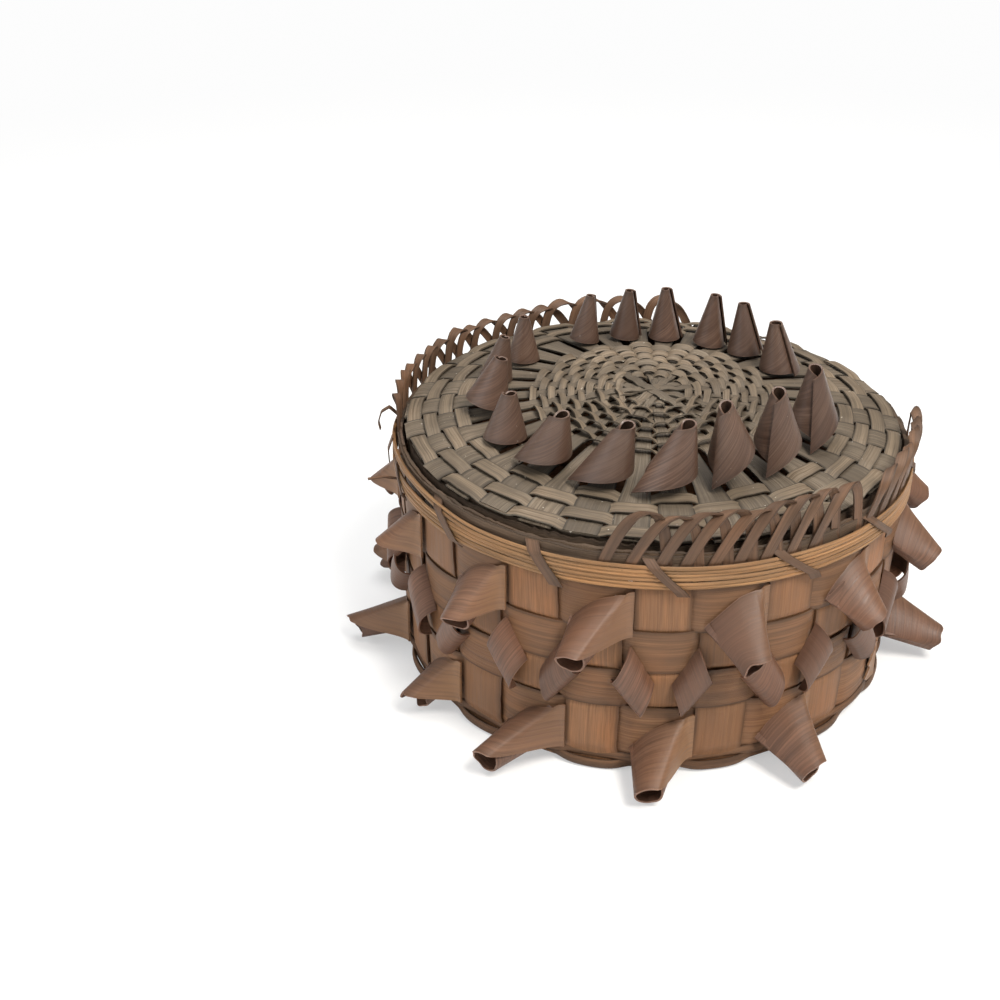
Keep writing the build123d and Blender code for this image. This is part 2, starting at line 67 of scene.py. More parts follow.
# Stakes, where they turn under the base and cross
STAKE_STEP = 1.15
TURN_TOP = 2.6
TURN_HEIGHT = 2.4
TURN_RADIUS = 2
FOOT_BREADTH = 15.9
FOOT_END = 6.5
BASE_EDGE = 58
BASE_FLOOR = 0.4
BASE_RISE = 4.0
BASE_RADII = (62, 58, 50, 42, 34, 26, 20)
STAKE_FAN = 0.1214
CROSSING_RADIUS = 10
CROSSING_BREADTH = 2.4
CROSSING_STEP = 0.34

# Rounds of the base
BASE_ROUNDS = 5
FIRST_BASE_ROUND = 22.6
BASE_ROUND_PITCH = 5.5
BASE_ROUND_HALF = 2.4

# Curls. SPIRAL: how far a roll widens in a full turn. SEAT: how far a curl's foot lies outside the wall's
# middle. SLOT: how far its slot lies to the right. WRAP: degrees of the roll. NEAR: distance from the
# cone's point to the mouth. SQUARE: where the strip lies square to the cone. SKEW: how fast it slants from
# there. ROLLED_SHARE: share of the strip that is rolled.
SPIRAL = 0.95
CURL_SEAT = 1.1
CURL_SLOT = 9.7
CURL_WRAP = 350
CURL_HALF_ANGLE = 11.5
CURL_NEAR = 18.5
CURL_SKEW = 0.15
CURL_SQUARE = 120
ROLLED_SHARE = 0.6
LEAF_MIDDLE = 29.6

# Both ends of a small leaf's upper and of its lower edge: run along the wall, rise
LEAF_UPPER = ((-1.1, 9.9), (-5.0, 0.2))
LEAF_LOWER = ((4.9, -0.6), (2.3, -9.3))

# Mouth of each large curl, on every second upright: run to the right, drop below its slot, share of
# the reach. A row of noughts is a curl that has been torn off.
TOP_MOUTHS = (
    (3.0, 8.9, 1), (2.4, 9.0, 0.75), (0.5, 8.5, 0.72), (-1.5, 9.0, 0.65), (1.0, 8.5, 1),
    (-2.5, 9.0, 1), (0.0, 8.0, 1), (1.5, 9.0, 1), (-2.0, 8.5, 1), (0.5, 8.5, 0.5),
    (-1.0, 8.5, 0.5), (2.0, 9.6, 0.8), (-3.2, 8.7, 1),
)
BOTTOM_MOUTHS = (
    (-2.0, 7.6, 1), (1.5, 7.0, 1), (0, 0, 0), (-2.0, 6.5, 1), (1.0, 7.0, 1),
    (-1.5, 6.5, 1), (2.0, 7.0, 1), (0.0, 6.5, 1), (-2.0, 7.0, 1), (1.5, 6.5, 1),
    (-1.0, 7.6, 0.95), (1.0, 7.6, 0.6), (-5.5, 7.0, 1),
)

# Rim
HOOP_BOTTOM = 57.9
HOOP_PITCH = 2.2
INNER_RADIUS = 66.5
INNER_MIDDLE = 62.2
INNER_HALF = 4.9
INNER_TOP = 67.5
LASHINGS = 14
FIRST_LASHING = -90.4

# Loose splinters at the rim: azimuth, half breadth, then distance from the axis and height of each point
SPLINTERS = (
    (192, 0.45, ((69.8, 57.4), (74.0, 58.4), (78.4, 58.2))),
    (186, 1.1, ((70.9, 66.4), (72.2, 62.6), (72.0, 59.0))),
    (179, 0.8, ((69.3, 69.0), (71.6, 71.2), (74.0, 69.6), (74.9, 66.4), (74.4, 64.2))),
)

# Runs of border loops: name, first azimuth, loops, seed, share of the height, share of the breadth
LOOP_RUNS = (
    ("front", -104.0, 9, 3, 1, 1),
    ("right", -44.0, 6, 4, 0.82, 1),
    ("left", 100.0, 14, 5, 0.76, 0.85),
)
LOOP_PITCH = 5.42
LOOP_FOOT = 63.5
STRETCHED_LOOPS = (-7.5, -15.5, -25)

# Course of a loop of this slant and height: distance from the axis, run along the rim, rise
COURSE_SLANT = 9.0
COURSE_HEIGHT = 12.8
LOOP_COURSE = (
    (69.1, -0.8, -3.5), (69.4, 0.6, 0.5), (69.9, 2.6, 5.0), (70.0, 4.6, 8.6), (69.9, 6.6, 11.2),
    (69.5, 8.8, 12.9), (68.9, 11.0, 13.5), (68.3, 13.1, 12.6), (67.9, 14.6, 10.0), (67.6, 15.5, 5.0),
    (67.6, 16.0, -1.5),
)

# Lid
SPOKES = 34
FIRST_SPOKE = -88.3
SPOKE_FAN = 0.0926
FINE_END = 33.5
EDGE_START = 49.8
EDGE_ROUNDS = 4
EDGE_PITCH = 4.25
FIRST_EDGE_ROUND = 51.9
FINE_ROUNDS = 10
FINE_PITCH = 2.55
FIRST_FINE_ROUND = 9.6
CENTRE_SPOKES = 18
FLANGE_RADIUS = 65.1
FLANGE_MIDDLE = 63.0
FLANGE_HALF = 4.5

# Each quill: azimuth, distance from the axis and breadth as shares of the lid's radius in the second and
# fifth place, between them its lean to the right and outwards, then its skew and the cone's half angle
QUILLS = (
    (-88.3, 0.715, 0.24, 0.03, 0.194, 0.24, 19),
    (-107.0, 0.70, 0.32, 0.03, 0.188, 0.24, 19),
    (-127.5, 0.70, 0.30, 0.00, 0.176, 0.24, 19),
    (-150.5, 0.68, 0.05, -0.05, 0.188, 0.14, 18),
    (-174.5, 0.67, 0.05, -0.28, 0.203, 0.12, 18),
    (163.0, 0.66, 0.00, -0.20, 0.187, 0.10, 15),
    (142.5, 0.65, 0.00, 0.00, 0.194, 0.08, 15),
    (113.0, 0.64, -0.12, 0.00, 0.203, 0.07, 14),
    (96.5, 0.64, -0.06, 0.00, 0.212, 0.07, 14),
    (81.0, 0.64, 0.02, 0.00, 0.224, 0.07, 14),
    (63.0, 0.635, -0.06, 0.00, 0.224, 0.08, 14),
    (47.5, 0.635, 0.12, 0.00, 0.218, 0.10, 15),
    (28.0, 0.62, 0.10, -0.10, 0.203, 0.12, 17),
    (-28.0, 0.67, -0.05, -0.05, 0.200, 0.23, 18),
    (-52.0, 0.68, -0.10, 0.02, 0.200, 0.23, 18),
    (-70.5, 0.695, -0.20, 0.02, 0.197, 0.23, 18),
)

# NEAR, SQUARE and WRAP as for the curls. NARROW: share of each half angle. GAP: room above the lid.
QUILL_NEAR = 5.8
QUILL_NARROW = 0.95
QUILL_SQUARE = 200
QUILL_WRAP = 385
QUILL_GAP = 0.3

# Looks: soot and the heights between which it sets in, crumbs of dust, rubbed curls, depth of the grain
SOOT = (0.062, 0.042, 0.029, 1)
SOOT_HEIGHTS = (0.0555, 0.0615)
CRUMBS = (0.55, 0.50, 0.42, 1)
RUBBED_CURL = (0.225, 0.118, 0.056, 1)
GRAIN_DEPTH = 0.0004

# Lamps, in metres and watts: name, place, width, power, colour
LAMPS = (
    ("key", (0.36, -0.50, 0.95), 0.4, 15.5, (1.0, 0.96, 0.90)),
    ("fill", (-0.65, -0.40, 0.55), 0.8, 3.4, (0.93, 0.97, 1.0)),
    ("top", (-0.05, 0.20, 0.95), 0.6, 5.6, (1.0, 1.0, 1.0)),
)
LAMP_AIM = Vector((0, 0, 0.04))


def length_property(name, default, description):
    """A length in metres."""
    return FloatProperty(name=name, description=description, default=default, unit="LENGTH", precision=5)


def colour_property(name, default, description):
    """A linear colour."""
    return FloatVectorProperty(
        name=name, description=description, default=default, subtype="COLOR", min=0, max=1
    )


class BasketSizes(bpy.types.PropertyGroup):
    """Sizes of the woven pieces."""

    splint: length_property("Splint", 0.0006, "Thickness of the wall splints")
    foot_radius: length_property("Foot radius", 0.0667, "Distance from the axis to the wall at the foot")
    rim_radius: length_property("Rim radius", 0.0686, "Distance from the axis to the wall at the rim")
    wall_height: length_property("Wall height", 0.0655, "Height of the uprights' tops")
    stake_count: IntProperty(name="Uprights", description="Number of uprights in the wall", default=26)
    stake_breadth: length_property("Upright breadth", 0.0136, "Breadth of an upright")
    curl_breadth: length_property("Curl breadth", 0.0138, "Breadth of the strip of a large curl")
    hoop_radius: length_property("Hoop radius", 0.0704, "Distance from the axis to the pale hoop's face")
    loop_breadth: length_property("Loop breadth", 0.0030, "Breadth of a border loop")
    loop_height: length_property("Loop height", 0.0143, "Rise of a border loop above the hoop")
    lid_radius: length_property("Lid radius", 0.0669, "Distance from the axis to the lid's cut edge")
    lid_edge: length_property("Lid edge height", 0.0685, "Height of the lid's edge")
    lid_rise: length_property("Lid rise", 0.0080, "Dome of the lid")


class BasketColours(bpy.types.PropertyGroup):
    """Base colours of the splints."""

    stake: colour_property("Uprights", (0.232, 0.113, 0.053), "Uprights of the wall")
    weaver: colour_property("Weavers", (0.180, 0.092, 0.047), "Rounds of the wall")
    foot: colour_property("Foot strands", (0.1116, 0.05704, 0.02914), "Twined strands at the foot")
    curl: colour_property("Curls", (0.132, 0.067, 0.042), "Curls on the wall")
    hoop: colour_property("Pale hoop", (0.300, 0.163, 0.072), "Outer hoop of the rim")
    dark: colour_property("Dark hoop", (0.110, 0.072, 0.046), "Inner hoop and lid flange")
    border: colour_property("Border", (0.122, 0.068, 0.040), "Loops and lashings")
    lid: colour_property("Lid splints", (0.108, 0.083, 0.058), "Spokes of the lid")
    lid_weaver: colour_property("Lid weavers", (0.142, 0.106, 0.071), "Rounds of the lid")
    quill: colour_property("Quills", (0.098, 0.054, 0.036), "Quills on the lid")
    dust: colour_property("Dust", (0.33, 0.29, 0.23), "Dust and pale specks")


class BasketStage(bpy.types.PropertyGroup):
    """Camera, floor and light."""

    lens: FloatProperty(name="Lens", description="Focal length in millimetres", default=61.32)
    eye: FloatVectorProperty(
        name="Eye",
        description="Place of the camera",
        default=(-0.0413, -0.4168, 0.27563),
        subtype="TRANSLATION",
    )
    dip: FloatProperty(
        name="Dip", description="How far the camera looks down", default=radians(29.204), subtype="ANGLE"
    )
    roll: FloatProperty(
        name="Roll", description="Turn about the view", default=radians(0.272), subtype="ANGLE"
    )
    floor: colour_property("Floor", (0.92, 0.92, 0.915), "Floor under the basket")


def sizes():
    """The sizes of this scene."""
    return bpy.context.scene.basket_sizes


def colours():
    """The colours of this scene."""
    return bpy.context.scene.basket_colours


def level(azimuth):
    """Unit vector that points level outwards at this azimuth in degrees."""
    return Vector((cos(radians(azimuth)), sin(radians(azimuth)), 0))


def sideways(azimuth):
    """Unit vector along the wall, to the right as seen from outside."""
    return level(azimuth + 90)


def at(azimuth, radius, z):
    """Point at this azimuth, distance from the axis and height."""
    return level(azimuth) * radius + UP * z


def towards(along, vector):
    """This vector, turned round where it points against along."""
    return -vector if vector.dot(along) < 0 else vector


def ease(low, high, x):
    """0 below low, 1 above high, smooth between."""
    t = min(1, max(0, (x - low) / (high - low)))
    return t * t * (3 - 2 * t)


def mix(a, b, t):
    """Value between a and b."""
    return a + (b - a) * t


def wander(seed, x, y=0.0):
    """Smooth unevenness between -1 and 1."""
    return noise.noise(Vector((x, y, SEED_STEP * seed + SEED_START)))


def along_path(points, t):
    """Point at share t of a line through these points, evenly by length."""
    steps = [(b - a).length for a, b in zip(points, points[1:])]
    left = t * sum(steps)
    for a, b, step in zip(points, points[1:], steps):
        if left <= step or b is points[-1]:
            return a.lerp(b, left / step if step else 0)
        left -= step
    return points[-1].copy()


def wall_radius(z):
    """Distance from the axis to the wall's middle at this height."""
    return mix(sizes().foot_radius, sizes().rim_radius, z / TAPER_HEIGHT) / MM


def lid_height(radius):
    """Height of the lid's spokes at this distance from the axis."""
    return (sizes().lid_edge + sizes().lid_rise * (1 - (radius * MM / sizes().lid_radius) ** 2)) / MM


def lid_top(radius):
    """Height of the lid's top face at this distance from the axis: lower on the bare spokes."""
    return lid_height(radius) + (0.3 if FINE_END < radius < EDGE_START - 0.3 else 0.9)


def weave_wave(azimuth, first, count, sharp=2.4):
    """1 over the even stakes, -1 over the odd ones, with quick changes between them."""
    wave = sharp * cos(radians((azimuth - first) * count / 2))
    return wave / sqrt(1 + wave * wave) * sqrt(1 + 1 / sharp**2)


def round_at(z):
    """Which wall round lies at this height, and 0 to 1 how squarely."""
    for i, (bottom, height) in enumerate(zip(ROUND_BOTTOMS, ROUND_HEIGHTS)):
        if bottom - 0.3 <= z < bottom + height + 0.3:
            share = (z - bottom) / height
            return i, ease(-0.02, 0.14, share) * ease(1.02, 0.86, share)
    return -1, 0.0


class Strips:
    """Strips of splint that share one mesh. Places are worked out in millimetres."""

    def __init__(self):
        self.mesh = bmesh.new()
        self.grain = self.mesh.loops.layers.uv.new("grain")
        self.tone = self.mesh.verts.layers.float.new("tone")
        self.across = self.mesh.verts.layers.float.new("across")
        self.wear = self.mesh.verts.layers.float.new("wear")

    def add(self, cells_along, cells_across, length, breadth, place, tone, wear=None):
        """A grid bent to place(u, v), with u from 0 to 1 along the strip and v from -1 to 1 across it."""
        grid = bmesh.ops.create_grid(self.mesh, x_segments=cells_along, y_segments=cells_across, size=1.0)
        spots = {vert: (vert.co.x, vert.co.y) for vert in grid["verts"]}
        for face in {face for vert in spots for face in vert.link_faces}:
            for loop in face.loops:
                x, y = spots[loop.vert]
                loop[self.grain].uv = ((x + 1) / 2 * length * MM, y / 2 * breadth * MM)
        for vert, (x, y) in spots.items():
            vert[self.tone] = tone
            vert[self.across] = y
            vert[self.wear] = wear((x + 1) / 2) if wear else 0
            vert.co = place((x + 1) / 2, y) * MM

    def finish(self, name, thickness, material, body, nodes):
        """Thickens the strips, and makes the piece that stands for these CAD nodes."""
        self.mesh.normal_update()
        bmesh.ops.solidify(self.mesh, geom=self.mesh.faces[:], thickness=thickness * MM)
        for edge in self.mesh.edges:
            edge.smooth = edge.calc_face_angle(0.0) < CREASE
        for face in self.mesh.faces:
            face.smooth = True
        data = bpy.data.meshes.new(name)
        self.mesh.to_mesh(data)
        self.mesh.free()
        data.materials.append(material)
        piece = bpy.data.objects.new(name, data)
        bpy.context.scene.collection.objects.link(piece)
        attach(piece, body)
        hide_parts(*nodes)


def splint_material(
    name, colour, spread, rough, bump, streak=420, edge_shade=0.55,
    dust=0, warm=0, pale_edge=0, worn_to=None, soot=False, slant=0, sheen=0.3,
):
    """Dark split wood: fine fibres along the strip, broader streaks, blotches, and painted shade along the
    edges.

    spread: how far the streaks depart from the colour. streak: streaks to the metre. seam: strength of the
    painted shade along the edges, for the shadow where strips meet. dust, warm, pale_edge: amounts.
    worn_to: colour of worn ends. soot: dark towards the rim.
    slant: turn of the grain across the strip. sheen: strength of the highlights.
    """
    found = bpy.data.materials.get(name)
    if found:
        return found
    material = bpy.data.materials.new(name)
    material.use_nodes = True
    nodes, links = material.node_tree.nodes, material.node_tree.links
    nodes.clear()

    def node(kind, **values):
        made = nodes.new(kind)
        for key, value in values.items():
            setattr(made, key, value)
        return made

    def feed(socket, value):
        """Sets a constant on the socket, or links an output to it."""
        if isinstance(value, (int, float, tuple)):
            socket.default_value = value
        else:
            links.new(value, socket)

    def calc(operation, *values):
        made = node("ShaderNodeMath", operation=operation)
        for socket, value in zip(made.inputs, values):
            feed(socket, value)
        return made.outputs[0]

    def attribute(key):
        return node("ShaderNodeAttribute", attribute_name=key).outputs["Fac"]

    def cloud(vector, scale, detail):
        made = node("ShaderNodeTexNoise")
        made.inputs["Scale"].default_value = scale
        made.inputs["Detail"].default_value = detail
        links.new(vector, made.inputs["Vector"])
        return made.outputs["Fac"]

    def streaks(along, across, detail, roughness):
        """Noise stretched along the strip, different on each strip."""
        mapping = node("ShaderNodeMapping")
        mapping.inputs["Scale"].default_value = (along, across, 1)
        links.new(turned.outputs["Vector"], mapping.inputs["Vector"])
        made = node("ShaderNodeTexNoise", noise_dimensions="4D")
        made.inputs["Scale"].default_value = 1
        made.inputs["Detail"].default_value = detail
        made.inputs["Roughness"].default_value = roughness
        links.new(mapping.outputs["Vector"], made.inputs["Vector"])
        links.new(shift, made.inputs["W"])
        return made.outputs["Fac"]

    def blend(factor, under, over):
        """Mixes two colours by the factor. The sockets of colours are the mix node's seventh and eighth."""
        made = node("ShaderNodeMix", data_type="RGBA")
        for index, value in ((0, factor), (6, under), (7, over)):
            feed(made.inputs[index], value)
        return made.outputs[2]

    def ranged(value, low, high, to_low=0.0, to_high=1.0):
        made = node("ShaderNodeMapRange", interpolation_type="SMOOTHSTEP")
        for key, amount in zip(("From Min", "From Max", "To Min", "To Max"), (low, high, to_low, to_high)):
            made.inputs[key].default_value = amount
        links.new(value, made.inputs["Value"])
        return made.outputs["Result"]

    def shade(of, share):
        """This share of a colour, no brighter than white."""
        return (*(min(1, c * share) for c in of), 1)

    uv = node("ShaderNodeUVMap", uv_map="grain")
    turned = node("ShaderNodeVectorRotate", rotation_type="Z_AXIS")
    turned.inputs["Angle"].default_value = slant
    links.new(uv.outputs["UV"], turned.inputs["Vector"])
    tone = attribute("tone")
    shift = calc("MULTIPLY", tone, 41.0)
    place = node("ShaderNodeTexCoord").outputs["Object"]
    fibres = streaks(45, 2600, 5, 0.62)
    bands = streaks(28, streak, 4, 0.55)
    blotch = cloud(place, 62, 5)

    base = tuple(colour)
    dark = tuple(c * (1 - spread) for c in base)
    warmed = (min(1, base[0] * (1.25 + warm)), base[1] * (1.05 + warm * 0.7), base[2] * 0.85, 1)
    body = blend(ranged(bands, 0.3, 0.72), shade(dark, 1), shade(base, 1 + 1.15 * spread))
    body = blend(ranged(blotch, 0.42, 0.66, 0.0, 0.55), body, warmed)
    body = blend(ranged(fibres, 0.62, 0.36, 0.0, 0.5), body, shade(dark, 0.42))
    body = blend(ranged(tone, 0.0, 1.0, 0.0, 0.62), body, shade(base, 0.62))
    edge = calc("ABSOLUTE", attribute("across"))
    # Painted shade: the outer quarter of each side of a strip is darkened, for the shadow in the gaps where
    # strips meet and pass under each other.
    edge_shade_mask = calc("MULTIPLY", ranged(edge, 0.76, 1.0), ranged(bands, 0.25, 0.6, 0.5, 1.0))
    body = blend(calc("MULTIPLY", edge_shade_mask, edge_shade), body, shade(dark, 0.3))
    if pale_edge:
        body = blend(calc("MULTIPLY", ranged(edge, 0.955, 1.0), pale_edge), body, shade(base, 2.6))
    if worn_to:
        rubbed = calc("MULTIPLY", attribute("wear"), ranged(bands, 0.25, 0.6, 0.45, 1.0))
        body = blend(rubbed, body, worn_to)
    if soot:
        height_split = node("ShaderNodeSeparateXYZ")
        links.new(place, height_split.inputs[0])
        body = blend(ranged(height_split.outputs["Z"], *SOOT_HEIGHTS, 0.0, 0.9), body, SOOT)
    if dust:
        film = calc("MULTIPLY", ranged(blotch, 0.36, 0.7), ranged(fibres, 0.35, 0.7))
        body = blend(calc("MULTIPLY", film, dust), body, (*colours().dust, 1))
        crumbs = ranged(cloud(place, 900, 3), 0.715, 0.76, 0.0, min(1.0, dust * 1.6))
        body = blend(crumbs, body, CRUMBS)

    relief = node("ShaderNodeBump")
    relief.inputs["Strength"].default_value = bump
    relief.inputs["Distance"].default_value = GRAIN_DEPTH
    height = calc("ADD", calc("MULTIPLY", fibres, 0.6), calc("MULTIPLY", bands, 0.4))
    links.new(height, relief.inputs["Height"])
    shader = node("ShaderNodeBsdfPrincipled")
    links.new(body, shader.inputs["Base Color"])
    links.new(ranged(bands, 0.2, 0.8, rough - 0.09, rough + 0.12), shader.inputs["Roughness"])
    links.new(relief.outputs["Normal"], shader.inputs["Normal"])
    shader.inputs["Specular IOR Level"].default_value = sheen
    output = node("ShaderNodeOutputMaterial")
    links.new(shader.outputs["BSDF"], output.inputs["Surface"])
    return material


def stake_wood():
    """Warm splint, sooty towards the rim."""
    return splint_material(
        "stake_wood", colours().stake, 0.18, 0.58, 0.35, streak=1600, edge_shade=0.75, warm=0.1, soot=True
    )


def weaver_wood():
    """Plain brown splint of the rounds."""
    colour = colours().weaver
    return splint_material("weaver_wood", colour, 0.32, 0.62, 0.45, streak=800, edge_shade=0.75, warm=0.1)


def layered_wood():
    """Brown splint that splits into layers."""
    colour = colours().weaver
    return splint_material("layered_wood", colour, 0.38, 0.62, 0.95, streak=620, edge_shade=0.75, warm=0.1)


def foot_wood():
    """Darker splint at the foot."""
    return splint_material("foot_wood", colours().foot, 0.4, 0.6, 0.5)


def curl_wood():
    """Smooth dark splint, worn paler towards the slot."""
    return splint_material(
        "curl_wood", colours().curl, 0.22, 0.5, 0.3, streak=1700, edge_shade=0.4,
        pale_edge=0.25, worn_to=RUBBED_CURL, sheen=0.36,
    )


def hoop_wood():
    """Pale straw-coloured splint."""
    return splint_material("hoop_wood", colours().hoop, 0.44, 0.55, 0.9)


def dark_wood():
    """Rough dark splint inside the rim."""
    return splint_material("dark_wood", colours().dark, 0.5, 0.72, 0.8)


def border_wood():
    """Dark splint of loops and lashings."""
    return splint_material("border_wood", colours().border, 0.42, 0.58, 0.5)


def lid_wood():
    """Greyed, dusty splint of the spokes."""
    return splint_material("lid_wood", colours().lid, 0.32, 0.64, 0.4, streak=900, edge_shade=0.95, dust=0.35)


def lid_weaver_wood():
    """Greyed, dusty splint of the lid's rounds."""
    return splint_material(
        "lid_weaver_wood", colours().lid_weaver, 0.34, 0.62, 0.4, streak=900, edge_shade=0.95, dust=0.35
    )


def quill_wood():
    """Smooth dark splint with a sheen, its grain aslant."""
    return splint_material(
        "quill_wood", colours().quill, 0.26, 0.4, 0.3, streak=1900, edge_shade=0.45,
        dust=0.12, pale_edge=0.2, slant=-0.5, sheen=0.55,
    )


def stake_half(top, breadth, lift):
    """Half a stake, from its top to the crossing: distance from the axis, height, breadth."""
    half = []
    z = top
    while z > TURN_TOP:
        half.append((wall_radius(z), z, mix(FOOT_BREADTH, breadth, ease(TURN_TOP, FOOT_END, z))))
        z -= STAKE_STEP
    middle = wall_radius(TURN_HEIGHT) - TURN_RADIUS
    for turn in (15, 45, 75, 90):
        ahead, down = TURN_RADIUS * cos(radians(turn)), TURN_RADIUS * sin(radians(turn))
        half.append((middle + ahead, TURN_HEIGHT - down, FOOT_BREADTH))
    for radius in BASE_RADII:
        rise = BASE_FLOOR + BASE_RISE * max(0, 1 - (radius / BASE_EDGE) ** 2)
        fan = 2 * radius * STAKE_FAN - 0.2 - 1.4 * ease(48, 40, radius)
        half.append((radius, rise, max(CROSSING_BREADTH, fan)))
    half.append((CROSSING_RADIUS, BASE_RISE + lift, CROSSING_BREADTH))
    return half


class BASKET_OT_stakes(bpy.types.Operator):
    """Splints that cross under the base and turn up as the wall"""

    bl_idname = "basket.stakes"
    bl_label = "Base Stakes"

    def execute(self, context):
        size = sizes()
        rng = random.Random(11)
        count = size.stake_count // 2
        breadth = size.stake_breadth / MM
        for i in range(count):
            azimuth = FIRST_STAKE + i * 360 / size.stake_count
            tops = [size.wall_height / MM + rng.uniform(-1.6, 1.2) for _ in range(2)]
            widths = [breadth * rng.uniform(0.96, 1.03) for _ in range(2)]
            lift = (i - (count - 1) / 2) * CROSSING_STEP
            near, far = (stake_half(top, width, lift) for top, width in zip(tops, widths))
            path = near + [(-s, z, b) for s, z, b in reversed(far)]
            cells = len(path) - 1
            seed = 20 + i

            def place(u, v):
                s, z, b = path[round(u * cells)]
                if z <= TURN_TOP or abs(s) < 60:
                    return level(azimuth) * s + sideways(azimuth) * (v * b / 2) + UP * z
                number, spot, top, hand = (i, azimuth, tops[0], 1)
                if s < 0:
                    number, spot, top, hand = (i + count, azimuth + 180, tops[1], -1)
                row, square = round_at(z)
                if row >= 0 and (number + row) % 2 == 0:
                    push = -0.42 * square
                else:
                    push = 0.42 * square + 0.35 * square * (1 - v * v)
                push += 0.16 * wander(seed, z * 0.12, v)
                lean = 0.5 * wander(seed + 3, z * 0.05)
                edge = v * b / 2 + lean + 0.18 * v * wander(seed + 5 + (v > 0), z * 0.35)
                fray = 0.9 * wander(seed + 9, v * 3.1) if z > top - 0.6 else 0
                radius = wall_radius(z) + push
                turn = edge / radius * 180 / pi * hand
                return at(spot + turn, radius, z + fray)

            stake = Strips()
            stake.add(cells, 5, 215, breadth, place, rng.random())
            thickness, nodes = size.splint / MM, [f"base_stake_{i + 1:02d}"]
            stake.finish(f"stake_{i + 1:02d}", thickness, stake_wood(), "basket", nodes)
        return {"FINISHED"}


class BASKET_OT_base_rounds(bpy.types.Operator):
    """Rounds woven under the base and the twined strands at the foot"""

    bl_idname = "basket.base_rounds"
    bl_label = "Base Rounds"

    def execute(self, context):
        count = sizes().stake_count
        rng = random.Random(12)
        rounds = Strips()
        for i in range(BASE_ROUNDS):
            middle = FIRST_BASE_ROUND + i * BASE_ROUND_PITCH
            phase = FIRST_STAKE + (i % 2) * 360 / count

            def place(u, v):
                azimuth = phase + 180 + u * 362
                radius = middle + v * BASE_ROUND_HALF
                rise = 0.75 + BASE_RISE * (1 - (radius / BASE_EDGE) ** 2)
                return at(azimuth, radius, rise + 0.7 * weave_wave(azimuth, phase, count))

            rounds.add(208, 2, 2 * pi * middle, 2 * BASE_ROUND_HALF, place, rng.random())
        rounds.finish("base_rounds", 0.5, weaver_wood(), "basket", ["base_weavers"])
        for i in range(2):
            strand = Strips()
            phase = FIRST_STAKE + (1 - i) * 360 / count

            def place(u, v):
                azimuth = phase + 180 + u * 363
                wave = weave_wave(azimuth, phase, count, 1.4)
                z = 2.3 + i * 2.0 + 1.4 * v
                z += 0.3 * wander(31 + i, azimuth * 0.06) - 0.5 * wave * (1 - 2 * i)
                radius = wall_radius(z) + 0.75 * wave + 0.5 * sqrt(max(0, 1 - v * v)) + 0.35
                return at(azimuth, radius, z)

            strand.add(312, 4, 425, 1.8, place, rng.random())
            nodes = [f"foot_strand_{i + 1}"]
            strand.finish(f"foot_{i + 1}", 0.7, foot_wood(), "basket", nodes)
        return {"FINISHED"}


class BASKET_OT_wall_rounds(bpy.types.Operator):
    """Four broad rounds of plain weave in the wall"""

    bl_idname = "basket.wall_rounds"
    bl_label = "Wall Rounds"

    def execute(self, context):
        size = sizes()
        count = size.stake_count
        rng = random.Random(13)
        for i, (bottom, height) in enumerate(zip(ROUND_BOTTOMS, ROUND_HEIGHTS)):
            phase = FIRST_STAKE + (i % 2) * 360 / count
            strip = Strips()

            def place(u, v):
                azimuth = phase + 180 + u * 364
                edge = 0.28 * wander(40 + 2 * i + (v > 0), azimuth * 0.11) * abs(v)
                z = bottom + height / 2 * (1 + v) + edge + 0.25 * wander(48 + i, azimuth * 0.03)
                bulge = max(0, cos(radians((azimuth - phase) * count / 2)))
                radius = wall_radius(z) + 0.62 * weave_wave(azimuth, phase, count, 3.2)
                radius += 0.55 * bulge * (1 - 0.5 * v * v) + 0.14 * wander(52 + i, azimuth * 0.2, v)
                radius += 0.25 * (u - 0.5)
                return at(azimuth, radius, z)

            strip.add(468, 5, 430, height, place, rng.random() * 0.8)
            wood = layered_wood() if i == 1 else weaver_wood()
            nodes = [f"wall_weaver_{i + 1}"]
            strip.finish(f"wall_round_{i + 1}", size.splint / MM, wood, "basket", nodes)
        return {"FINISHED"}


def cone_edges(mouth, tip, side, heading, near, breadth, half_angle, skew, square, psi):
    """Near and far edge of a strip rolled on a cone, psi degrees back from its outer end.

    mouth: centre of the small end; tip: unit vector out of it. The outer end lies on this side of the
    cone and heads this way. square: where the strip lies square to the cone. skew: how fast it slants
    from there.
    """
    alpha = radians(half_angle)
    outward = side * cos(radians(psi)) - heading * sin(radians(psi))
    stretch = 1 / cos(radians(skew * (square - psi)))
    apex = mouth + tip * (near * cos(alpha))
    edges = []
    for rho in (near * stretch, (near + breadth) * stretch):
        wide = rho * sin(alpha) + SPIRAL * (0.5 - psi / 360)
        edges.append(apex - tip * (rho * cos(alpha)) + outward * wide)
    return edges


def run_off(start, heading, end, along, pull, t):
    """Point of a smooth run from a start and its heading to an end and its heading."""
    left = 2 * t**3 - 3 * t**2 + 1
    run = heading * (pull * (t**3 - 2 * t**2 + t)) + along * (pull * (t**3 - t**2))
    return start * left + end * (1 - left) + run


